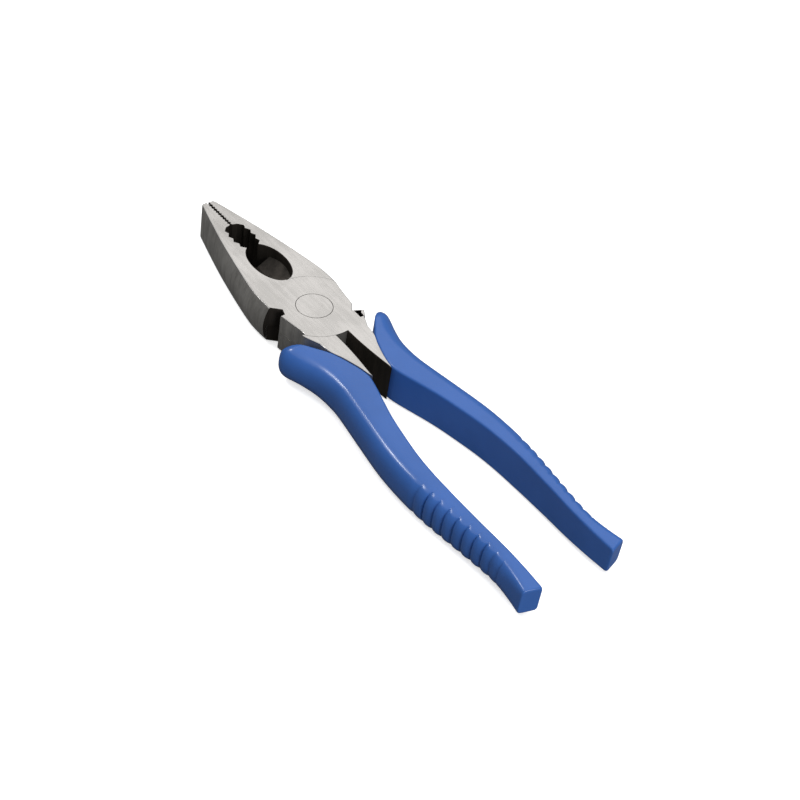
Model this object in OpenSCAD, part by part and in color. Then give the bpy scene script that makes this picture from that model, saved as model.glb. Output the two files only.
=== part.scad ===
// Lineman pliers: two forged halves in a lap joint, one rivet, two moulded grips.
// +Y points to the jaw tips, +Z runs up the pivot axis, the head rests on z = 0.

/* [Head] */
// Thickness of the ground head
head_t = 14; // [12:0.5:16]
// Distance from the pivot to the jaw tips
jaw_reach = 66; // [64:0.5:70]
// Half width across the jaw shoulders at the ground faces
jaw_half_w = 14; // [13.8:0.1:14.5]
// How far the forged sides of the jaws swell out at mid thickness
jaw_crown = 2.0; // [0.5:0.1:2.5]
// Half width of the blunt nose
nose_half_w = 2.7; // [2:0.1:3.5]

/* [Nose and pipe grip] */
// Number of fine nose serrations
nose_teeth = 11; // [8:1:14]
// Depth of one nose serration
nose_tooth_d = 0.55; // [0.3:0.05:0.7]
// Number of coarse teeth along each side of the pipe grip
pipe_teeth = 4; // [3:1:6]
// Depth of one coarse tooth
pipe_tooth_d = 1.0; // [0.5:0.1:1.2]
// Half width of the pipe grip opening
pipe_half_w = 4.5; // [3.5:0.1:5]

/* [Cutter] */
// Half length of the cutter hollow
cutter_half_l = 10.7; // [9:0.1:11]
// Half width of the cutter hollow
cutter_half_w = 6.2; // [5:0.1:6.5]
// Half thickness of a blade where it leaves the hollow's wall
blade_root = 4.2; // [3:0.1:5]

/* [Joint] */
// Radius of the lap joint discs
disc_r = 15.9; // [15.6:0.1:16]
// Half width of the joint where its sides are cut flat
waist_half_w = 13; // [12.5:0.1:13.2]
// Radius of the rivet shank
shank_r = 4.4; // [3.5:0.1:5]
// Radius of the rivet heads where they are ground flush
rivet_head_r = 6.4; // [5.5:0.1:7]
// Depth of the rivet's countersunk heads
rivet_head_d = 2.2; // [1.5:0.1:3]
// Running clearance between the turning pieces
clearance = 0.05; // [0.03:0.01:0.08]

/* [Handles] */
// Distance from the pivot to the inner corners of the grips' ends
grip_reach = 134; // [133.5:0.5:138]
// Height of a grip at its thickest
grip_h = 14; // [13:0.1:14]
// How much thinner each face of a grip is at its end
end_taper = 1.8; // [0:0.1:2]
// How far the outer corner of a grip's end stands back from the inner corner
end_skew = 1.8; // [0:0.1:3]
// Height of the tang core inside a grip
core_h = 9; // [7:0.5:10]
// Number of grooves across each grip
grooves = 8; // [5:1:10]
// Pitch of the grooves
groove_pitch = 4.05; // [3.5:0.05:4.2]
// Depth of a groove
groove_d = 1.0; // [0.4:0.1:1.4]

/* [Hidden] */
$fn = 96;
mid_z = head_t / 2;
seam_gap = clearance;                  // each jaw stops this far from the centre plane
lap_gap = clearance;                   // each lap face stops this far from the mid plane
recess_r = disc_r + 2 * clearance;     // recess that the other half's disc turns in
cut = 1;                               // how far a cutting shape runs past a surface

// Fine serrations and coarse pipe teeth, measured from the pivot
serration_back = 50;
pipe_front = 50.3;
pipe_back = 37.2;
pipe_end_w = 1.6;                      // half width that the pipe grip's oval starts from
pipe_sweep = [20, 160];                // share of a half wave that its oval follows
cutter_mid = 27;
blade_front = 33.5;
shoulder = 6.2;                        // back edge of a jaw's outer shoulder
shoulder_in = [10.8, 3.4];             // inner end of that edge: half width, distance
crown_steps = 5;                       // levels that the curve of a jaw's side is built from

flare_start = 10.2;                    // front of the grips' flares
flare_r = 5;                           // rounding of a flare's front
end_r = 1.2;                           // rounding of a grip's end

// Half width of a jaw at distances in front of the pivot: [distance, half width]
JAW = [[shoulder, jaw_half_w], [11, jaw_half_w + 0.1], [16, jaw_half_w - 0.1], [27.6, 11.9], [43, 8.6],
       [55.6, 5.4], [jaw_reach - 0.6, nose_half_w]];

// Edges of the handles at distances behind the pivot: [distance, distance from the centre plane]
SLOT = [[15, 2.3], [22, 2.4], [28, 2.8], [33, 3.3], [38, 3.9]];
RIM = [[19, 9.6], [22, 9.0], [25.7, 7.4], [29.5, 6.1], [33, 5.1], [37, 4.3]];
INNER = [[flare_start, 19.8], [11.5, 17.9], [13.5, 15.6], [16, 13.4], [19, 11.1], [22, 9.0], [25.7, 7.4],
         [29.5, 6.1], [33, 5.1], [37, 4.5], [41, 5.2], [47, 7.0], [55, 9.4], [62, 11], [75, 13.3],
         [88, 14.2], [104, 14], [117, 13.5], [126, 13.6], [grip_reach, 14]];
OUTER = [[flare_start, 21.0], [11.5, 21.9], [13.5, 22.3], [17, 21.3], [21.7, 19.6], [26, 18.3], [31, 17.5],
         [36, 17.4], [41, 18.0], [54, 20.2], [66, 22.1], [76, 22.8], [86, 22.7], [95, 21.9],
         [104, 20.8], [112, 19.9], [118.5, 19.4], [124, 19.6], [grip_reach, 20.5]];
groove_start = 88.4;
core_end = 126;
taper_start = 90;                      // distance at which the grips begin to thin
skew_start = 122;                      // distance at which the sections begin to lean
round_section = [14, 34];              // distances between which a grip's section grows flatter
rim_gap = 0.02;                        // between the tang's side and the rim of the grip
inner_r = 0.9;                         // rounding between a grip's faces and its inner side
side_w = 6;                            // width over which a grip's outer side bulges
inner_wall = 1.2;
outer_wall = 2.6;

// Smooth curve through a table of [distance, value] rows
function row(t, d, i = 0) = i >= len(t) - 2 || d <= t[i + 1][0] ? i : row(t, d, i + 1);
function rise(t, i, j) = (t[j][1] - t[i][1]) / (t[j][0] - t[i][0]);
function slope(t, i) = rise(t, max(i - 1, 0), min(i + 1, len(t) - 1));
function fair(t, d) =
    let (i = row(t, d), h = t[i + 1][0] - t[i][0], u = (d - t[i][0]) / h, v = 1 - u)
    t[i][1] * v * v * (1 + 2 * u) + t[i + 1][1] * u * u * (1 + 2 * v)
    + h * u * v * (v * slope(t, i) - u * slope(t, i + 1));

// Outline of the left jaw in front of its shoulder, swelled outwards by a crown
function jaw_edge(crown) = [for (d = [jaw_reach - 0.6 : -4.9 : shoulder])
    [-fair(JAW, d) - crown * cos(90 * (d - shoulder) / (jaw_reach - shoulder)), d]];
module jaw_plan(crown) {
    polygon(concat(
        [[-seam_gap, jaw_reach], [-nose_half_w + 0.7, jaw_reach]],
        jaw_edge(crown),
        [[-jaw_half_w, shoulder], [-seam_gap, shoulder]]));
}
module crowned_jaw() {
    hull()
        for (k = [1 : crown_steps])
            let (share = k / crown_steps)
                linear_extrude(head_t * share, center = true) jaw_plan(jaw_crown * (1 - share * share));
    linear_extrude(head_t, center = true)
        polygon([[-jaw_half_w, shoulder], [-shoulder_in[0], shoulder_in[1]],
                 [-seam_gap, shoulder_in[1]], [-seam_gap, shoulder]]);
}

// Zigzag of the fine nose serrations, cut from both jaws alike
module serrations() {
    pitch = (jaw_reach - serration_back) / nose_teeth;
    zig = [for (i = [0 : nose_teeth]) each [
        [-seam_gap, serration_back + i * pitch],
        [-seam_gap - nose_tooth_d, serration_back + (i + 0.5) * pitch]]];
    polygon(concat([[cut, serration_back]], zig, [[cut, jaw_reach + cut]]));
}

// Pipe grip: an oval with coarse teeth standing into it
module pipe_grip() {
    steps = 2 * pipe_teeth;
    step_l = (pipe_front - pipe_back) / steps;
    function sweep(i) = pipe_sweep[0] + (pipe_sweep[1] - pipe_sweep[0]) * i / steps;
    function bulge(i) = pipe_end_w + (pipe_half_w - pipe_end_w) * sqrt(sin(sweep(i)));
    wall = [for (i = [0 : steps])
        [-bulge(i) + (i % 2 == 0 ? pipe_tooth_d : 0), pipe_front - i * step_l]];
    polygon(concat([[cut, pipe_front]], wall, [[cut, pipe_back]]));
}

// Oval hollow over the cutter
module cutter_hollow() {
    polygon([for (a = [0 : 6 : 354]) [cutter_half_w * cos(a), cutter_mid + cutter_half_l * sin(a)]]);
}

// Knife blade left standing in the hollow, with its edge on the seam at mid thickness
module blade() {
    intersection() {
        rotate([90, 0, 0]) translate([0, 0, -blade_front])
            linear_extrude(blade_front - disc_r)
                polygon([[-seam_gap, 0.1], [-seam_gap, -0.1], [-cutter_half_w - cut, -blade_root],
                         [-cutter_half_w - cut, blade_root]]);
        linear_extrude(head_t, center = true) cutter_hollow();
    }
}

// Side notch ground through both layers on one side of the joint
NOTCH = [[jaw_half_w, shoulder], shoulder_in, [11.5, 1.2], [13, 1]];
function left_of(points) = [for (p = points) [-p[0], p[1]]];
function reversed(points) = [for (i = [len(points) - 1 : -1 : 0]) points[i]];

// Joint disc with its flats; its tang side is notched only where the other jaw is notched
module disc_plan(notched) {
    tang_side = notched ? reversed(NOTCH) : [[13.2, 2]];
    intersection() {
        circle(r = disc_r);
        polygon(concat(
            [[-jaw_half_w, disc_r]], left_of(NOTCH),
            [[-12.3, -3.6], [-11.4, -8.2], [-11.4, -disc_r], [waist_half_w, -disc_r],
             [waist_half_w, -9.2], [10.1, -7.9], [12.2, -4.8]],
            tang_side, [[jaw_half_w, disc_r / 2], [jaw_half_w, disc_r]]));
    }
}

// Corner that stands out of the disc's layer behind the rear side notch
module stop_corner() {
    polygon([[10.1, -7.9], [13.8, -9.6], [12.2, -12.5], [10, -12.5]]);
}

// Full thickness part of the tang, up to the rim of the grip
module tang_plan() {
    polygon(concat(
        [[10.1, -7.9], [12.3, -9.4], [12.2, -11.7], [11.2, -14], [9.8, -17]],
        [for (d = [19 : 2.25 : 37]) [fair(RIM, d) - rim_gap, -d]],
        [for (d = [38 : -2.3 : 15]) [fair(SLOT, d), -d]],
        [[2.4, -12], [5, -7.9]]));
}

// Core of the tang inside the grip
function core_inner(d) = fair(INNER, d) + inner_wall;
function core_outer(d) = fair(OUTER, d) - outer_wall;
module core_plan() {
    polygon(concat(
        [[4.5, -24], [9.2, -20], [12.6, -29]],
        [for (d = [36 : 6 : core_end]) [core_outer(d), -d]],
        [for (d = [core_end : -6 : 36]) [core_inner(d), -d]]));
}
module core() {
    linear_extrude(core_h, center = true) core_plan();
}

// Solid of revolution of the rivet, grown by a clearance
module rivet_shape(grow) {
    h = head_t / 2 + (grow > 0 ? cut : 0);
    slant = (rivet_head_r - shank_r) / rivet_head_d;
    tip_r = rivet_head_r + grow + (grow > 0 ? cut * slant : 0);
    rotate_extrude()
        polygon([[0, -h], [tip_r, -h], [shank_r + grow, rivet_head_d - head_t / 2],
                 [shank_r + grow, head_t / 2 - rivet_head_d], [tip_r, h], [0, h]]);
}

// One half with its jaw on the left and its tang on the right, centred on the mid plane
module half(bore_clearance, notched) {
    difference() {
        union() {
            difference() {
                crowned_jaw();
                linear_extrude(head_t + cut, center = true) {
                    serrations();
                    pipe_grip();
                    cutter_hollow();
                }
            }
            linear_extrude(head_t, center = true) tang_plan();
            translate([0, 0, lap_gap]) linear_extrude(head_t / 2 - lap_gap) {
                disc_plan(notched);
                stop_corner();
            }
            blade();
            core();
        }
        translate([0, 0, -head_t / 2 - cut]) cylinder(r = recess_r, h = head_t / 2 + cut + lap_gap);
        rivet_shape(bore_clearance);
    }
}

// Rings of the grip: flat top and inner side, bulging outer side
function groove(d) =
    let (g = (d - groove_start) / groove_pitch)
    g < -1 || g > grooves ? 0
    : groove_d * (1 - pow(abs(sin(180 * g)), 0.6)) * (g < 0 || g > grooves - 1 ? 0.5 : 1);
function end_round(depth, r) =
    depth >= r ? 0 : r - sqrt(max(r * r - (r - depth) * (r - depth), 0));
function share_of(d, from, to) = min(1, max(0, (d - from) / (to - from)));
function corner(cx, cz, r, a0, a1, n) = [for (i = [0 : n]) let (a = a0 + (a1 - a0) * i / n)
    [cx + r * cos(a), cz + r * sin(a)]];
function signed_power(v, p) = sign(v) * pow(abs(v), p);
function bulged_side(xo, w, h, p, n) = [for (i = [0 : n]) let (a = 180 * i / n - 90)
    [xo - w + w * pow(max(cos(a), 0), p), h * signed_power(sin(a), p)]];
function grip_ring(d) =
    let (flare = end_round(d - flare_start, flare_r),
         end = end_round(grip_reach - d, end_r),
         late = share_of(d, skew_start, grip_reach),
         early = 1 - share_of(d, round_section[0], round_section[1]),
         xi = fair(INNER, d) + 0.1 * flare + 0.3 * end,
         xo = fair(OUTER, d) - groove(d) - 0.1 * flare - 0.3 * end,
         h = grip_h / 2 - flare - end - end_taper * share_of(d, taper_start, grip_reach),
         ri = min(inner_r, (xo - xi) * (0.29 - 0.22 * early)),
         bulge_w = min(side_w * (1 + early / 2), (xo - xi) * (0.7 + 0.2 * early)),
         power = 0.77 + 0.13 * early - 0.45 * late)
    [for (p = concat(bulged_side(xo, bulge_w, h, power, 12),
                     corner(xi + ri, h - ri, ri, 90, 180, 2),
                     corner(xi + ri, ri - h, ri, 180, 270, 2)))
        [p[0], -d + end_skew * late * late * (p[0] - xi) / (xo - xi), p[1]]];
RINGS = concat([flare_start, 10.3, 10.6, 11.1, 11.9], [12.8 : 1.6 : 38], [40 : 4 : 84],
               [86.5 : groove_pitch / 6 : 120.5], [122, 125, 128, 130.5, 132.5],
               [grip_reach - 0.8, grip_reach - 0.3, grip_reach]);
RING_AT = [for (r = RINGS) each (is_num(r) ? [r] : [for (d = r) d])];
module grip_body() {
    rings = [for (d = RING_AT) grip_ring(d)];
    n = len(rings[0]);
    last = len(rings) - 1;
    faces = concat(
        [[for (i = [0 : n - 1]) i]],
        [for (k = [0 : last - 1]) for (i = [0 : n - 1])
            let (j = (i + 1) % n) each [[k * n + i, (k + 1) * n + i, k * n + j],
                                        [k * n + j, (k + 1) * n + i, (k + 1) * n + j]]],
        [[for (i = [n - 1 : -1 : 0]) last * n + i]]);
    polyhedron(points = [for (r = rings) each r], faces = faces);
}
module grip() {
    difference() {
        grip_body();
        core();
        linear_extrude(head_t, center = true) tang_plan();
    }
}

// Right pieces carry the left jaw; the left pieces are the same turned over about Y
module right_side() { translate([0, 0, mid_z]) children(); }
module left_side() { translate([0, 0, mid_z]) rotate([0, 180, 0]) children(); }

module right_half() { color([0.62, 0.61, 0.59]) right_side() half(clearance, false); }
module left_half() { color([0.58, 0.57, 0.55]) left_side() half(0, true); }
module rivet() { color([0.7, 0.69, 0.67]) right_side() rivet_shape(0); }
module right_grip() { color([0.2, 0.36, 0.72]) right_side() grip(); }
module left_grip() { color([0.2, 0.36, 0.72]) left_side() grip(); }

right_half();
left_half();
rivet();
right_grip();
left_grip();
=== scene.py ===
import math

import bmesh
import bpy
from mathutils import Matrix, Vector


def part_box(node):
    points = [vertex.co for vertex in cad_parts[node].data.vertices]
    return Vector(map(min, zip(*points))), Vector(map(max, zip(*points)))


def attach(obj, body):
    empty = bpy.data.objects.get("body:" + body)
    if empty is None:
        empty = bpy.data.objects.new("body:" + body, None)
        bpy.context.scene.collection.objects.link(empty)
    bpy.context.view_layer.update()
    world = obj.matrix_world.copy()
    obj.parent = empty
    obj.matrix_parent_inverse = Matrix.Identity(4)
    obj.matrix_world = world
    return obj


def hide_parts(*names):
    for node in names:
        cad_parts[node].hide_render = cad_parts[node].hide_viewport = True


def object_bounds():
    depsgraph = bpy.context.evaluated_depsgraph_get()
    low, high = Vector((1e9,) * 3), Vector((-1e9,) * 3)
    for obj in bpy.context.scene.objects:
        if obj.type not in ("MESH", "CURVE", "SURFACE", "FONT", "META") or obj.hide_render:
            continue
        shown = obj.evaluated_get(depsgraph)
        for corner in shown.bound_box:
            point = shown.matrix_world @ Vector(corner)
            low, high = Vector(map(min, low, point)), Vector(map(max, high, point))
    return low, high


# Lineman pliers: two forged halves in a lap joint, one flush rivet, two moulded grips.
# Lengths in the tables and named sizes below are millimetres; MM turns them into metres.
# +Y points to the jaw tips, +Z runs up the pivot axis, the head rests on z = 0.

MM = 0.001
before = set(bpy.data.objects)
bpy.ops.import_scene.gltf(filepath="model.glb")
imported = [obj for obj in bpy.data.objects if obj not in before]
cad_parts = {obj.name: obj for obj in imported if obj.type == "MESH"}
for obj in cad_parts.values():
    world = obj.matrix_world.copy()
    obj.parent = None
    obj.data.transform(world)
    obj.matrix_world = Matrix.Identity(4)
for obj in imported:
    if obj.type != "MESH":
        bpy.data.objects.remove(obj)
cad_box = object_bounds()

# ---------------------------------------------------------------- sizes taken from the frame
steel_low, steel_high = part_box("right_half")
grip_low, grip_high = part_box("right_grip")
rivet_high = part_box("rivet")[1]
HALF_T = (steel_high.z - steel_low.z) / 2 / MM       # half the thickness of the head
MID_Z = (steel_high.z + steel_low.z) / 2 / MM        # height of the mid plane
JAW_REACH = steel_high.y / MM                        # pivot to jaw tips
GRIP_HALF_H = (grip_high.z - grip_low.z) / 2 / MM    # half the height of a grip
GRIP_REACH = -grip_low.y / MM                        # pivot to the ends of the grips
FLARE_START = -grip_high.y / MM                      # pivot to the tips of the thumb flares
RIVET_R = rivet_high.x / MM                          # radius of the rivet's ground ends

# ---------------------------------------------------------------- head
SEAM_GAP = 0.05           # each jaw stops this far from the centre plane
LAP_GAP = 0.05            # each lap face stops this far from the mid plane
BORE_GROW = 0.05          # running clearance round the rivet in the half that turns on it
JAW_CROWN = 2.0           # how far a jaw's outer side swells at mid thickness, less at the nose
EDGE = 0.28               # width of the broken edge round the ground faces
FINE_EDGE = 0.16          # the same on teeth, at the rivet and beside the grips
LAP_EDGE = 0.04           # the same along the lap joint
RIM_GAP = 0.02            # between the tang's side and the rim of the grip
NOSE_HALF_W = 2.7
NOSE_BEVEL = (0.7, 0.6)   # corner cut off the nose's outer side: across, along
NOSE_SEAM = 0.25          # how much further from the centre plane the tips are than the seam
SHOULDER = 6.2            # distance to the outer corner of a jaw's shoulder
SHOULDER_IN = (10.8, 3.4)      # inner corner of the shoulder: half width, distance
DISC_R = 15.9
RECESS_R = 15.95          # recess that the other half's disc turns in
WAIST = 13.0              # half width at which its arc ends behind the pivot, on the tang's side
DISC_FLAT = 11.4          # half width of its flat on the other side
ARC_STEP = 0.05           # radians between corners on the disc's arcs
HEEL = (10.1, -7.9)       # inner corner of the rear side notch
SIDE = 14.0               # half width of the head at the jaws' shoulders
NOSE_TEETH = 11
NOSE_TOOTH_D = 0.55
SERRATION_BACK = 50.0
PIPE_TEETH = 4            # valleys between the coarse teeth of the pipe grip
PIPE_TOOTH_D = 1.0
PIPE_HALF_W = 4.5
PIPE_FRONT = SERRATION_BACK + 0.3
PIPE_BACK = 37.2
PIPE_END_W = 1.6          # half width at the foot of the half wave that its oval follows
PIPE_SWEEP = (20.0, 160.0)     # part of that half wave that is used, in degrees
HOLLOW_FROM = 64.0        # angle in degrees at which the cutter hollow's oval begins, in front
CUTTER_MID = 27.0
CUTTER_HALF_L = 10.7
CUTTER_HALF_W = 6.2
BLADE_FRONT = 33.5
BLADE_BACK = 0.4          # from the hollow's back end to the blade's
BLADE_EDGE = 0.1          # half thickness of the blade at its edge
BLADE_ROOT = 4.2          # the same at its root
SHANK_R = 4.4
RIVET_HEAD_D = 2.2
OVERLAP = 1.0             # how far the blade runs into the wall, and cutters past a face
STEEL_SHARP = 28          # angle in degrees from which an edge is shaded as a sharp one

# Half width of a jaw at distances in front of the pivot
JAW = [(SHOULDER, SIDE), (11, 14.1), (16, 13.9), (27.6, 11.9), (43, 8.6), (55.6, 5.4),
       (JAW_REACH - NOSE_BEVEL[1], NOSE_HALF_W)]

# Side notch ground through both layers on one side of the joint
NOTCH = [(SIDE, SHOULDER), SHOULDER_IN, (11.5, 1.2), (13, 1)]

# ---------------------------------------------------------------- handles
# Distance from the centre plane at distances behind the pivot
SLOT = [(15, 2.3), (22, 2.4), (28, 2.8), (33, 3.3), (38, 3.9)]
RIM = [(19, 9.6), (22, 9.0), (25.7, 7.4), (29.5, 6.1), (33, 5.1), (37, 4.3)]
INNER = [(FLARE_START, 19.8), (11.5, 17.9), (13.5, 15.6), (16, 13.4), (19, 11.1), (22, 9.0),
         (25.7, 7.4), (29.5, 6.1), (33, 5.1), (37, 4.5), (41, 5.2), (47, 7.0), (55, 9.4),
         (62, 11), (75, 13.3), (88, 14.2), (104, 14), (117, 13.5), (126, 13.6),
         (GRIP_REACH, 14)]
OUTER = [(FLARE_START, 21.0), (11.5, 21.9), (13.5, 22.3), (17, 21.3), (21.7, 19.6), (26, 18.3),
         (31, 17.5), (36, 17.4), (41, 18.0), (54, 20.2), (66, 22.1), (76, 22.8), (86, 22.7),
         (95, 21.9), (104, 20.8), (112, 19.9), (118.5, 19.4), (124, 19.6), (GRIP_REACH, 20.5)]
GROOVES = 8               # at full depth, with a shallow one more at each end
GROOVE_PITCH = 4.05
GROOVE_START = 88.4       # first one at full depth
GROOVE_D = 1.0
ROUND_SECTION = (14.0, 34.0)   # distances between which a grip's section grows squarer
INNER_R = 0.9             # rounding between the inner side and the faces above and below
FLARE_R = 5.0             # rounding of the flare's tip
END_R = 1.0               # rounding of the grip's end
FLARE_PULL = 0.1          # share of the flare's rounding that also narrows the grip
END_PULL = 0.3            # the same at the grip's end
END_TAPER = 1.8           # how far the faces above and below have each come in at the end
TAPER_START = 90.0
END_SKEW = 1.8            # how far the end's outer corner falls short of the inner one
SKEW_START = 122.0
CORE_HALF_H = 4.5
CORE_END = 126.0
INNER_WALL = 1.2
OUTER_WALL = 2.6
GRIP_SHARP = 40           # angle in degrees from which an edge is shaded as a sharp one

# Section of a grip: a value behind ROUND_SECTION, and what is added to it in front
SIDE_W = (6.0, 3.0)            # width over which the outer side bulges
SIDE_SHARE = (0.7, 0.2)        # the most that this may be of the grip's width
INNER_SHARE = (0.29, -0.22)    # the most that INNER_R may be of the grip's width
BULGE_POWER = (0.77, 0.13)     # shape of the bulge: 1 is an ellipse, less is squarer
END_SQUARE = 0.45              # taken from that at the very end

# Material places in every steel mesh; the third is near-black steel, dark oxide plus painted shade on
# the hollow, slot, notch, shoulder and teeth
GROUND, FORGED, CUT_OXIDE_AND_SHADE, WORN = range(4)


# ================================================================ curves and outlines
def fair(table, d):
    """Smooth curve through a table of (distance, value) rows."""
    i = max(k for k in range(len(table) - 1) if k == 0 or table[k][0] <= d)

    def rise(a, b):
        return (table[b][1] - table[a][1]) / (table[b][0] - table[a][0])

    def slope(k):
        return rise(max(k - 1, 0), min(k + 1, len(table) - 1))

    h = table[i + 1][0] - table[i][0]
    u = (d - table[i][0]) / h
    v = 1 - u
    ends = table[i][1] * v * v * (1 + 2 * u) + table[i + 1][1] * u * u * (1 + 2 * v)
    return ends + h * u * v * (v * slope(i) - u * slope(i + 1))


def spread(start, end, step):
    """Evenly spaced values from start to end, about one step apart."""
    n = max(1, round(abs(end - start) / step))
    return [start + (end - start) * k / n for k in range(n + 1)]


def inset(points, amounts):
    """The outline moved inwards by an amount at each corner; the outline runs anticlockwise."""
    moved = []
    n = len(points)
    for i, p in enumerate(points):
        before = (p - points[i - 1]).normalized()
        after = (points[(i + 1) % n] - p).normalized()
        inward = (Vector((-before.y, before.x)) + Vector((-after.y, after.x))).normalized()
        reach = max(0.5, inward.dot(Vector((-before.y, before.x))))
        moved.append(p + inward * amounts[i] / reach)
    return moved


class Outline:
    """A closed outline whose corners know their side's finish and their broken edge's width."""

    def __init__(self):
        self.points, self.finish, self.edge, self.crown = [], [], [], []

    def add(self, x, y, finish=FORGED, edge=EDGE, crown=0.0):
        self.points.append(Vector((x, y)))
        self.finish.append(finish)
        self.edge.append(edge)
        self.crown.append(crown)

    def anticlockwise(self):
        area = sum(a.x * b.y - b.x * a.y for a, b in
                   zip(self.points, self.points[1:] + self.points[:1]))
        if area < 0:
            self.points.reverse()
            self.finish = self.finish[::-1][1:] + [self.finish[-1]]
            self.edge.reverse()
            self.crown.reverse()
        return self


# ================================================================ mesh building
def mesh_object(name, bm, materials=()):
    mesh = bpy.data.meshes.new(name)
    for material in materials:
        mesh.materials.append(material)
    bmesh.ops.recalc_face_normals(bm, faces=bm.faces)
    bm.to_mesh(mesh)
    bm.free()
    piece = bpy.data.objects.new(name, mesh)
    bpy.context.scene.collection.objects.link(piece)
    return piece


def stack(name, rings, cap_finish, finishes, materials):
    """Closed solid from rings of points in millimetres; finishes[k][i] is the finish of a wall face."""
    bm = bmesh.new()
    loops = [[bm.verts.new(Vector(p) * MM) for p in ring] for ring in rings]
    n = len(loops[0])
    for k in range(len(loops) - 1):
        for i in range(n):
            j = (i + 1) % n
            face = bm.faces.new((loops[k][i], loops[k][j], loops[k + 1][j], loops[k + 1][i]))
            face.material_index = finishes[k][i]
    for loop in (loops[0], loops[-1]):
        bm.faces.new(loop).material_index = cap_finish
    return mesh_object(name, bm, materials)


def slab(name, outline, low, high, breaks=(True, True), levels=(), cap_finish=GROUND,
         materials=None):
    """A plate from an outline, with its edges broken below and above and its sides crowned."""
    outline.anticlockwise()
    materials = materials or steels
    rows = [(z, 0.0) for z in (low, *levels, high)]
    round_steps = ((0.0, 1.0), (0.3, 0.3), (1.0, 0.0))   # share of the edge: height, inset
    if breaks[0]:
        rows = [(low + s * EDGE, i) for s, i in round_steps] + rows[1:]
    if breaks[1]:
        rows = rows[:-1] + [(high - s * EDGE, i) for s, i in reversed(round_steps)]
    rings, shares = [], []
    for z, share in rows:
        crown = 1 - (z / HALF_T) ** 2
        flat = inset(outline.points, [e * share for e in outline.edge])
        rings.append([(p.x + c * crown, p.y, z) for p, c in zip(flat, outline.crown)])
        shares.append(share)
    finishes = []
    for k in range(len(rings) - 1):
        broken = shares[k] > 0 or shares[k + 1] > 0
        finishes.append([WORN if broken and f != CUT_OXIDE_AND_SHADE else f for f in outline.finish])
    return stack(name, rings, cap_finish, finishes, materials)


def turned(name, profile, finishes, steps=128):
    """Solid of revolution about Z from a profile of (radius, height), ends on the axis."""
    bm = bmesh.new()
    loops = []
    for r, z in profile[1:-1]:
        angles = [2 * math.pi * k / steps for k in range(steps)]
        loops.append([bm.verts.new(Vector((r * math.cos(a), r * math.sin(a), z)) * MM)
                      for a in angles])
    for k in range(len(loops) - 1):
        for i in range(steps):
            j = (i + 1) % steps
            face = bm.faces.new((loops[k][i], loops[k][j], loops[k + 1][j], loops[k + 1][i]))
            face.material_index = finishes[k + 1]
    for loop, (_, z), finish in ((loops[0], profile[0], finishes[0]),
                                 (loops[-1], profile[-1], finishes[-1])):
        tip = bm.verts.new(Vector((0, 0, z)) * MM)
        for i in range(steps):
            bm.faces.new((loop[i], loop[(i + 1) % steps], tip)).material_index = finish
    return mesh_object(name, bm, steels)


def combine(piece, tool, operation):
    """Joins the tool to the piece or cuts it from the piece, and drops the tool."""
    change = piece.modifiers.new(operation.lower(), "BOOLEAN")
    change.operation = operation
    change.solver = "EXACT"
    change.object = tool
    bpy.context.view_layer.update()
    graph = bpy.context.evaluated_depsgraph_get()
    mesh = bpy.data.meshes.new_from_object(piece.evaluated_get(graph))
    piece.modifiers.clear()
    piece.data = mesh
    bpy.data.objects.remove(tool)
    return piece


def settle(piece, turned_over, sharp_degrees):
    """Puts a piece that was made centred on the mid plane in its place, with its shading."""
    if turned_over:
        piece.data.transform(Matrix.Rotation(math.pi, 4, "Y"))
    piece.data.transform(Matrix.Translation((0, 0, MID_Z * MM)))
    piece.data.shade_smooth()
    piece.data.set_sharp_from_angle(angle=math.radians(sharp_degrees))
    weigh = piece.modifiers.new("even_shading", "WEIGHTED_NORMAL")
    weigh.keep_sharp = True
    weigh.weight = 60
    return piece


# ================================================================ forged halves
def jaw_outline():
    """Left jaw: outer side, nose, fine teeth, pipe grip, cutter hollow, shoulder."""
    o = Outline()
    o.add(-SEAM_GAP, SHOULDER_IN[1])
    o.add(-SHOULDER_IN[0], SHOULDER_IN[1], CUT_OXIDE_AND_SHADE)
    o.add(-SIDE, SHOULDER, crown=-JAW_CROWN)
    for d in spread(SHOULDER, JAW_REACH - NOSE_BEVEL[1], 1.2)[1:]:
        swell = math.cos(math.pi / 2 * (d - SHOULDER) / (JAW_REACH - SHOULDER))
        o.add(-fair(JAW, d), d, crown=-JAW_CROWN * swell)
    o.add(-NOSE_HALF_W + NOSE_BEVEL[0], JAW_REACH)
    o.add(-SEAM_GAP - NOSE_SEAM, JAW_REACH, edge=FINE_EDGE)
    pitch = (JAW_REACH - SERRATION_BACK) / NOSE_TEETH
    for k in range(NOSE_TEETH):
        front = JAW_REACH - k * pitch
        if k:
            o.add(-SEAM_GAP, front, CUT_OXIDE_AND_SHADE, FINE_EDGE)
        o.add(-SEAM_GAP - NOSE_TOOTH_D, front - pitch / 2, CUT_OXIDE_AND_SHADE, FINE_EDGE)
    add_pipe_grip(o)
    # the hollow's walls take the near-black finish: painted shade over dark oxide
    for a in spread(math.radians(HOLLOW_FROM), -math.pi / 2 + 0.02, 0.07):
        o.add(-CUTTER_HALF_W * math.cos(a), CUTTER_MID + CUTTER_HALF_L * math.sin(a), CUT_OXIDE_AND_SHADE)
    return o


def add_pipe_grip(o):
    """Wall of the oval pipe grip with its coarse teeth, from front to back."""
    steps = 2 * PIPE_TEETH
    for i in range(steps + 1):
        sweep = math.radians(PIPE_SWEEP[0] + (PIPE_SWEEP[1] - PIPE_SWEEP[0]) * i / steps)
        bulge = PIPE_END_W + (PIPE_HALF_W - PIPE_END_W) * math.sqrt(math.sin(sweep))
        tooth = PIPE_TOOTH_D if i % 2 == 0 else 0
        y = PIPE_FRONT - i * (PIPE_FRONT - PIPE_BACK) / steps
        o.add(-bulge + tooth, y, CUT_OXIDE_AND_SHADE, FINE_EDGE)


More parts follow.
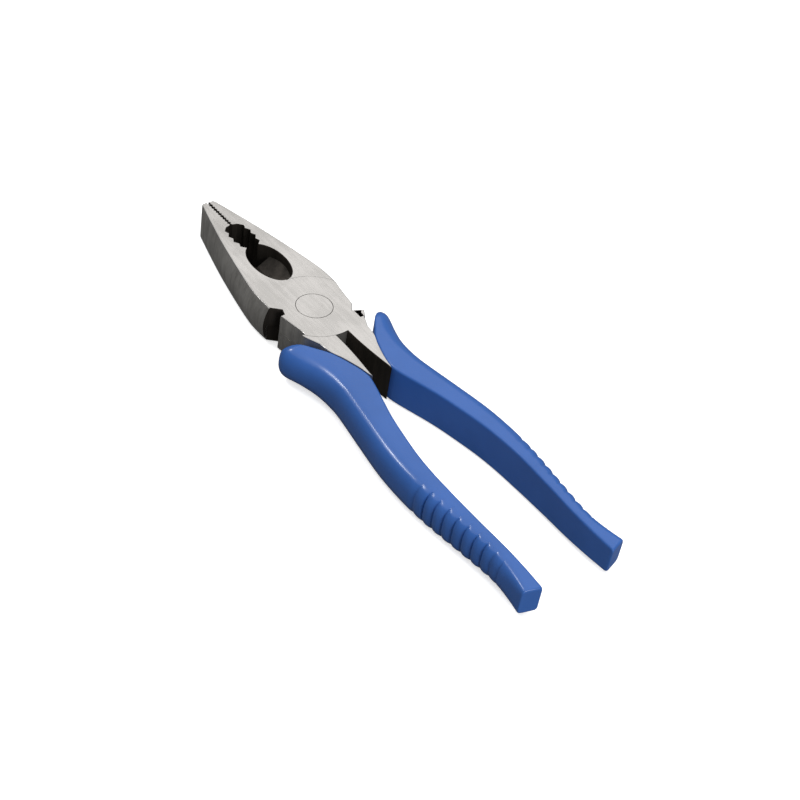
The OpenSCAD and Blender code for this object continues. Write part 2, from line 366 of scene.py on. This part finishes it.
def disc_outline(notched):
    """Joint disc with its flats; the tang's side is notched only on one of the halves."""
    o = Outline()
    side = math.acos(SIDE / DISC_R)
    for a in spread(side, math.pi - side, ARC_STEP):
        o.add(DISC_R * math.cos(a), DISC_R * math.sin(a), edge=LAP_EDGE)
    for x, y in NOTCH[:-1]:
        o.add(-x, y, CUT_OXIDE_AND_SHADE)
    o.add(-NOTCH[-1][0], NOTCH[-1][1])
    o.add(-12.3, -3.6)
    o.add(-DISC_FLAT, -8.2)
    rear = math.pi + math.acos(DISC_FLAT / DISC_R)
    for a in spread(rear, 2 * math.pi - math.acos(WAIST / DISC_R), ARC_STEP):
        o.add(DISC_R * math.cos(a), DISC_R * math.sin(a), edge=LAP_EDGE)
    o.add(*HEEL)
    o.add(12.2, -4.8)
    if notched:
        for x, y in NOTCH[:0:-1]:
            o.add(x, y, CUT_OXIDE_AND_SHADE)
        o.add(*NOTCH[0])
    else:
        o.add(13.2, 2)
    return o


def stop_corner_outline():
    """Corner that stands out of the disc's layer behind the rear side notch."""
    o = Outline()
    for x, y in (HEEL, (13.8, -9.6), (12.2, -12.5), (10, -12.5)):
        o.add(x, y)
    return o


def tang_outline():
    """Full thickness part of the tang, between the slot and the grip's rim."""
    o = Outline()
    for x, y in (HEEL, (12.3, -9.4), (12.2, -11.7), (11.2, -14), (9.8, -17)):
        o.add(x, y)
    for d in spread(19, 37, 1.0):
        o.add(fair(RIM, d) - RIM_GAP, -d, edge=FINE_EDGE)
    # the slot's walls take the near-black finish: painted shade over dark oxide
    for d in spread(38, 15, 1.5):
        o.add(fair(SLOT, d), -d, CUT_OXIDE_AND_SHADE)
    o.add(2.4, -12, CUT_OXIDE_AND_SHADE)
    o.add(5, -7.9)
    return o


def core_outline():
    """Core of the tang inside the grip."""
    o = Outline()
    o.add(4.5, -24)
    o.add(9.2, -20)
    o.add(12.6, -29)
    for d in spread(36, CORE_END, 3):
        o.add(fair(OUTER, d) - OUTER_WALL, -d)
    for d in spread(CORE_END, 36, 3):
        o.add(fair(INNER, d) + INNER_WALL, -d)
    return o


def blade():
    """Knife blade in the hollow, its edge on the seam at mid thickness."""
    back = CUTTER_MID - CUTTER_HALF_L + BLADE_BACK
    root = CUTTER_HALF_W + OVERLAP
    section = [(-SEAM_GAP, -BLADE_EDGE), (-SEAM_GAP, BLADE_EDGE),
               (-root, BLADE_ROOT), (-root, -BLADE_ROOT)]
    rings = [[(x, y, z) for x, z in section] for y in (back, BLADE_FRONT)]
    return stack("blade", rings, CUT_OXIDE_AND_SHADE, [[CUT_OXIDE_AND_SHADE] * 4], steels)


def rivet_profile(grow, over):
    """Profile of the rivet or, grown and longer, of the hole that it sits in."""
    top = HALF_T + over
    slant = (RIVET_R - SHANK_R) / RIVET_HEAD_D
    end_r = RIVET_R + grow + over * slant
    neck = HALF_T - RIVET_HEAD_D
    return [(0, -top), (end_r, -top), (SHANK_R + grow, -neck), (SHANK_R + grow, neck),
            (end_r, top), (0, top)]


def half(name, turned_over, bore_grow, notched):
    """One forged half, made with its jaw on the left and its tang on the right."""
    piece = slab(name, jaw_outline(), -HALF_T, HALF_T, levels=spread(-6, 6, 1.5))
    combine(piece, slab("tang", tang_outline(), -HALF_T, HALF_T), "UNION")
    combine(piece, slab("disc", disc_outline(notched), LAP_GAP, HALF_T, (False, True)), "UNION")
    combine(piece, slab("corner", stop_corner_outline(), LAP_GAP, HALF_T, (False, True)), "UNION")
    combine(piece, blade(), "UNION")
    combine(piece, slab("core", core_outline(), -CORE_HALF_H, CORE_HALF_H, (False, False),
                        cap_finish=FORGED), "UNION")
    recess = [(0, -HALF_T - OVERLAP), (RECESS_R + OVERLAP + LAP_EDGE, -HALF_T - OVERLAP),
              (RECESS_R, -HALF_T + LAP_EDGE), (RECESS_R, LAP_GAP), (0, LAP_GAP)]
    combine(piece, turned("recess", recess, [FORGED, WORN, FORGED, FORGED]), "DIFFERENCE")
    bore = rivet_profile(bore_grow, OVERLAP)
    combine(piece, turned("bore", bore, [CUT_OXIDE_AND_SHADE] * 5), "DIFFERENCE")
    return settle(piece, turned_over, STEEL_SHARP)


def rivet():
    """Countersunk rivet, ground flush, with a fine broken edge round each end."""
    slim = RIVET_R - FINE_EDGE
    p = rivet_profile(0, 0)
    profile = [p[0], (slim, p[0][1]), (RIVET_R - FINE_EDGE * 0.6, p[0][1] + FINE_EDGE), *p[2:4],
               (RIVET_R - FINE_EDGE * 0.6, p[5][1] - FINE_EDGE), (slim, p[5][1]), p[5]]
    piece = turned("rivet_pin", profile, [GROUND, CUT_OXIDE_AND_SHADE, CUT_OXIDE_AND_SHADE, CUT_OXIDE_AND_SHADE, CUT_OXIDE_AND_SHADE, CUT_OXIDE_AND_SHADE, GROUND])
    return settle(piece, False, STEEL_SHARP)


# ================================================================ moulded grips
def groove(d):
    """Depth of the grooves across the outer side; the first and last are half as deep."""
    g = (d - GROOVE_START) / GROOVE_PITCH
    if g < -1 or g > GROOVES:
        return 0.0
    share = 0.5 if g < 0 or g > GROOVES - 1 else 1.0
    return GROOVE_D * share * (1 - abs(math.sin(math.pi * g)) ** 0.6)


def end_round(depth, radius):
    """How far the sides stand in at a depth behind the tip of a rounded end."""
    if depth >= radius:
        return 0.0
    return radius - math.sqrt(max(radius ** 2 - (radius - depth) ** 2, 0))


def corner(cx, cz, r, start, steps):
    return [(cx + r * math.cos(math.radians(start + 90 * k / steps)),
             cz + r * math.sin(math.radians(start + 90 * k / steps))) for k in range(steps + 1)]


def bulged_side(xo, width, h, power, steps):
    """Outer side of a section, bulging from the bottom face round to the top face."""
    points = []
    for k in range(steps + 1):
        a = math.pi * k / steps - math.pi / 2
        rise = math.copysign(abs(math.sin(a)) ** power, math.sin(a))
        points.append((xo - width + width * max(math.cos(a), 0) ** power, h * rise))
    return points


def share_of(d, low, high):
    """How far d has come from low to high, between 0 and 1."""
    return min(1.0, max(0.0, (d - low) / (high - low)))


def grip_ring(d):
    """Section of the right grip at a distance behind the pivot."""
    flare = end_round(d - FLARE_START, FLARE_R)
    end = end_round(GRIP_REACH - d, END_R)
    late = share_of(d, SKEW_START, GRIP_REACH)
    early = 1 - share_of(d, *ROUND_SECTION)

    def eased(pair):
        return pair[0] + pair[1] * early

    xi = fair(INNER, d) + FLARE_PULL * flare + END_PULL * end
    xo = fair(OUTER, d) - groove(d) - FLARE_PULL * flare - END_PULL * end
    h = GRIP_HALF_H - flare - end - END_TAPER * share_of(d, TAPER_START, GRIP_REACH)
    ri = min(INNER_R, (xo - xi) * eased(INNER_SHARE))
    side_w = min(eased(SIDE_W), (xo - xi) * eased(SIDE_SHARE))
    power = eased(BULGE_POWER) - END_SQUARE * late
    ring = (bulged_side(xo, side_w, h, power, 30)
            + corner(xi + ri, h - ri, ri, 90, 4) + corner(xi + ri, ri - h, ri, 180, 4))
    return [(x, -d + END_SKEW * late * late * (x - xi) / (xo - xi), z) for x, z in ring]


def grip_stations():
    """Distances at which the grip's sections are taken, closest at its ends and grooves."""
    head_end = [FLARE_START + FLARE_R * (1 - math.cos(a)) for a in spread(0, math.pi / 2, 0.16)]
    tail = [GRIP_REACH - END_R * (1 - math.cos(a)) for a in spread(math.pi / 2, 0, 0.2)]
    grooves_from = GROOVE_START - GROOVE_PITCH
    grooves_to = GROOVE_START + GROOVES * GROOVE_PITCH
    plain = spread(head_end[-1], grooves_from, 1.5)[1:]
    ribbed = spread(grooves_from, grooves_to, GROOVE_PITCH / 12)[1:]
    return head_end + plain + ribbed + spread(grooves_to, tail[0], 1.5)[1:-1] + tail


def grip(name, turned_over):
    """One moulded grip, hollow where the tang's core fills it."""
    rings = [grip_ring(d) for d in grip_stations()]
    piece = stack(name, rings, 0, [[0] * len(rings[0])] * len(rings), [plastic])
    hollow = core_outline()
    hollow.finish = [0] * len(hollow.finish)
    combine(piece, slab("core", hollow, -CORE_HALF_H, CORE_HALF_H, (False, False), cap_finish=0,
                        materials=[plastic]), "DIFFERENCE")
    return settle(piece, turned_over, GRIP_SHARP)


# ================================================================ node helpers
def new_group(name, inputs, outputs):
    group = bpy.data.node_groups.new(name, "ShaderNodeTree")
    for label, kind, value in inputs:
        socket = group.interface.new_socket(label, in_out="INPUT", socket_type=kind)
        socket.default_value = value
    for label, kind in outputs:
        group.interface.new_socket(label, in_out="OUTPUT", socket_type=kind)
    return group, group.nodes.new("NodeGroupInput"), group.nodes.new("NodeGroupOutput")


def feed(tree, socket, value):
    """Gives an input its value, or links it where the value is another node's output socket."""
    if isinstance(value, bpy.types.NodeSocket):
        tree.links.new(value, socket)
    else:
        socket.default_value = value


def add(tree, kind, settings=None, **values):
    """A node with its settings and input values; a value may be another node's output socket."""
    node = tree.nodes.new(kind)
    for key, value in (settings or {}).items():
        setattr(node, key, value)
    for key, value in values.items():
        at = int(key[1:]) if key[1:].isdigit() else key.replace("_", " ")
        feed(tree, node.inputs[at], value)
    return node


def math_node(tree, operation, a, b=0.0):
    return add(tree, "ShaderNodeMath", {"operation": operation}, i0=a, i1=b).outputs[0]


def ramp(tree, value, low, high, to_low=0.0, to_high=1.0):
    return add(tree, "ShaderNodeMapRange", {"interpolation_type": "SMOOTHSTEP"}, Value=value,
               From_Min=low, From_Max=high, To_Min=to_low, To_Max=to_high).outputs[0]


def mix_colour(tree, share, a, b):
    node = add(tree, "ShaderNodeMix", {"data_type": "RGBA"}, Factor=share)
    feed(tree, node.inputs[6], a)
    feed(tree, node.inputs[7], b)
    return node.outputs[2]


def place_group(tree, group, **values):
    node = tree.nodes.new("ShaderNodeGroup")
    node.node_tree = group
    for key, value in values.items():
        feed(tree, node.inputs[key.replace("_", " ")], value)
    return node


# ================================================================ shared effects
def streaks_group():
    """Fine parallel marks left by grinding or drawing; Along stretches them on each axis."""
    group, gin, gout = new_group(
        "tool_marks",
        [("Along", "NodeSocketVector", (1, 1, 1)), ("Scale", "NodeSocketFloat", 1000.0)],
        [("Marks", "NodeSocketFloat"), ("Broad", "NodeSocketFloat")])
    where = add(group, "ShaderNodeTexCoord").outputs["Object"]
    laid = add(group, "ShaderNodeVectorMath", {"operation": "MULTIPLY"}, i0=where,
               i1=gin.outputs["Along"]).outputs[0]
    fine = add(group, "ShaderNodeTexNoise", Vector=laid, Scale=gin.outputs["Scale"], Detail=3.0,
               Roughness=0.6).outputs["Fac"]
    broad_scale = math_node(group, "MULTIPLY", gin.outputs["Scale"], 0.22)
    broad = add(group, "ShaderNodeTexNoise", Vector=laid, Scale=broad_scale, Detail=2.0,
                Roughness=0.5).outputs["Fac"]
    group.links.new(fine, gout.inputs["Marks"])
    group.links.new(broad, gout.inputs["Broad"])
    return group


def mottle_group():
    """Slow change of tone over a surface, with small specks."""
    group, gin, gout = new_group(
        "tone_change",
        [("Patch Scale", "NodeSocketFloat", 60.0), ("Speck Scale", "NodeSocketFloat", 2500.0)],
        [("Patches", "NodeSocketFloat"), ("Specks", "NodeSocketFloat")])
    where = add(group, "ShaderNodeTexCoord").outputs["Object"]
    patches = add(group, "ShaderNodeTexNoise", Vector=where, Scale=gin.outputs["Patch Scale"],
                  Detail=4.0, Roughness=0.55).outputs["Fac"]
    specks = add(group, "ShaderNodeTexNoise", Vector=where, Scale=gin.outputs["Speck Scale"],
                 Detail=2.0, Roughness=0.6).outputs["Fac"]
    group.links.new(ramp(group, patches, 0.3, 0.7), gout.inputs["Patches"])
    group.links.new(ramp(group, specks, 0.62, 0.75), gout.inputs["Specks"])
    return group


# ================================================================ materials
def new_material(name):
    material = bpy.data.materials.new(name)
    material.use_nodes = True
    tree = material.node_tree
    tree.nodes.clear()
    shader = tree.nodes.new("ShaderNodeBsdfPrincipled")
    out = tree.nodes.new("ShaderNodeOutputMaterial")
    tree.links.new(shader.outputs[0], out.inputs["Surface"])
    return material, tree, shader


def bump(tree, shader, height, strength, distance):
    node = add(tree, "ShaderNodeBump", Strength=strength, Distance=distance, Height=height)
    tree.links.new(node.outputs[0], shader.inputs["Normal"])


def steel(name, marks, tone, light, dark, shine, along, mark_scale, depth, metallic, gloss=0.5):
    """Steel with tool marks: light and dark are its two tones, shine the roughness at each."""
    material, tree, shader = new_material(name)
    lines = place_group(tree, marks, Along=along, Scale=mark_scale)
    change = place_group(tree, tone)
    broad = math_node(tree, "MULTIPLY", lines.outputs["Broad"], 0.5)
    patch = math_node(tree, "MULTIPLY", change.outputs["Patches"], 0.25)
    fine = math_node(tree, "MULTIPLY", lines.outputs["Marks"], 0.35)
    share = ramp(tree, math_node(tree, "ADD", math_node(tree, "ADD", broad, patch), fine), 0.3, 0.8)
    tree.links.new(mix_colour(tree, share, dark, light), shader.inputs["Base Color"])
    tree.links.new(ramp(tree, share, 0.0, 1.0, shine[1], shine[0]), shader.inputs["Roughness"])
    shader.inputs["Metallic"].default_value = metallic
    shader.inputs["Specular IOR Level"].default_value = gloss
    bump(tree, shader, lines.outputs["Marks"], 0.35, depth)
    return material


def grip_plastic(tone):
    """Glossy blue moulded plastic with a faint flow pattern."""
    material, tree, shader = new_material("blue_grip_plastic")
    change = place_group(tree, tone, Patch_Scale=45.0, Speck_Scale=900.0)
    blue = mix_colour(tree, change.outputs["Patches"], (0.04, 0.135, 0.45, 1),
                      (0.048, 0.153, 0.505, 1))
    tree.links.new(blue, shader.inputs["Base Color"])
    rough = ramp(tree, change.outputs["Patches"], 0.0, 1.0, 0.18, 0.25)
    tree.links.new(rough, shader.inputs["Roughness"])
    shader.inputs["Specular IOR Level"].default_value = 0.45
    bump(tree, shader, change.outputs["Patches"], 0.12, 0.0002)
    return material


def dress(piece, body, node):
    """Makes a piece move with a body and hides the CAD solid that it stands for."""
    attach(piece, body)
    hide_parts(node)


# ================================================================ build
marks = streaks_group()
tone = mottle_group()
ground_steel = steel("ground_steel", marks, tone, (0.69, 0.665, 0.64, 1), (0.6, 0.58, 0.555, 1),
                     (0.21, 0.3), (1.0, 0.06, 1.0), 3500.0, 0.00002, 1.0)
forged_steel = steel("forged_steel", marks, tone, (0.6, 0.585, 0.555, 1), (0.34, 0.33, 0.31, 1),
                     (0.34, 0.46), (1.0, 1.0, 0.08), 1600.0, 0.00006, 0.85)
# near-black cut faces: dark oxide plus painted shade where the hollow, slot, notch and teeth lie in
# shade
cut_steel_oxide_and_shade = steel("cut_steel_oxide_and_shade", marks, tone, (0.042, 0.035, 0.029, 1), (0.016, 0.014, 0.012, 1),
                  (0.5, 0.65), (1.0, 1.0, 0.1), 1500.0, 0.00005, 0.3, 0.15)
worn_steel = steel("worn_edge_steel", marks, tone, (0.5, 0.49, 0.47, 1), (0.34, 0.33, 0.32, 1),
                   (0.28, 0.4), (1.0, 1.0, 1.0), 1800.0, 0.00002, 1.0)
steels = [ground_steel, forged_steel, cut_steel_oxide_and_shade, worn_steel]
plastic = grip_plastic(tone)

dress(half("right_forging", False, BORE_GROW, False), "right_lever", "right_half")
dress(half("left_forging", True, 0.0, True), "left_lever", "left_half")
dress(rivet(), "left_lever", "rivet")
dress(grip("right_sleeve", False), "right_lever", "right_grip")
dress(grip("left_sleeve", True), "left_lever", "left_grip")


# ================================================================ floor, lights, camera
TOOL_MIDDLE = (0, -0.03, 0)    # where the two smaller lights point, in metres
FLOOR_GAP = 0.4                # keeps the floor out of the plane that the tool rests on


def floor():
    """Pale floor; it looks white but throws only a little light back up at the tool."""
    bm = bmesh.new()
    bmesh.ops.create_grid(bm, x_segments=1, y_segments=1, size=15.0)
    piece = mesh_object("floor", bm)
    piece.location.z = min(cad_box[0][2], 0.0) - FLOOR_GAP * MM
    material, tree, shader = new_material("pale_floor")
    seen = tree.nodes.new("ShaderNodeLightPath").outputs["Is Camera Ray"]
    paper = mix_colour(tree, seen, (0.16, 0.16, 0.16, 1), (0.97, 0.97, 0.97, 1))
    tree.links.new(paper, shader.inputs["Base Color"])
    shader.inputs["Emission Color"].default_value = (1, 1, 1, 1)
    tree.links.new(math_node(tree, "MULTIPLY", seen, 0.6), shader.inputs["Emission Strength"])
    shader.inputs["Roughness"].default_value = 0.9
    shader.inputs["Specular IOR Level"].default_value = 0.1
    piece.data.materials.append(material)


def area_light(name, place, aim, size, power):
    lamp = bpy.data.lights.new(name, "AREA")
    lamp.shape = "RECTANGLE"
    lamp.size, lamp.size_y = size
    lamp.energy = power
    holder = bpy.data.objects.new(name, lamp)
    bpy.context.scene.collection.objects.link(holder)
    holder.location = place
    holder.rotation_euler = (Vector(aim) - Vector(place)).to_track_quat("-Z", "Y").to_euler()


def sky(strength):
    world = bpy.data.worlds.new("studio")
    world.use_nodes = True
    back = world.node_tree.nodes["Background"]
    back.inputs["Color"].default_value = (1, 1, 1, 1)
    back.inputs["Strength"].default_value = strength
    bpy.context.scene.world = world


def camera():
    lens = bpy.data.cameras.new("camera")
    lens.lens = 72
    lens.sensor_width = 36
    lens.clip_end = 20
    lens.shift_x = -0.00125
    holder = bpy.data.objects.new("camera", lens)
    bpy.context.scene.collection.objects.link(holder)
    place = Vector((-269.3, -321.4, 350.7)) * MM
    aim = Vector((2.6, -46.1, 7.0)) * MM
    look = (aim - place).to_track_quat("-Z", "Y").to_matrix().to_4x4()
    roll = Matrix.Rotation(math.radians(10.4), 4, "Z")
    holder.matrix_world = Matrix.Translation(place) @ look @ roll
    bpy.context.scene.camera = holder


floor()
sky(0.16)
area_light("overhead", (0.35, 0.25, 1.4), (0.35, 0.25, 0), (3.2, 3.2), 30)
area_light("rear_strip", (-0.42, 0.72, 1.02), TOOL_MIDDLE, (0.34, 0.1), 3.0)
area_light("front_fill", (-0.1, -1.3, 0.45), TOOL_MIDDLE, (0.6, 0.4), 7)
camera()
bpy.context.scene.view_settings.view_transform = "Standard"
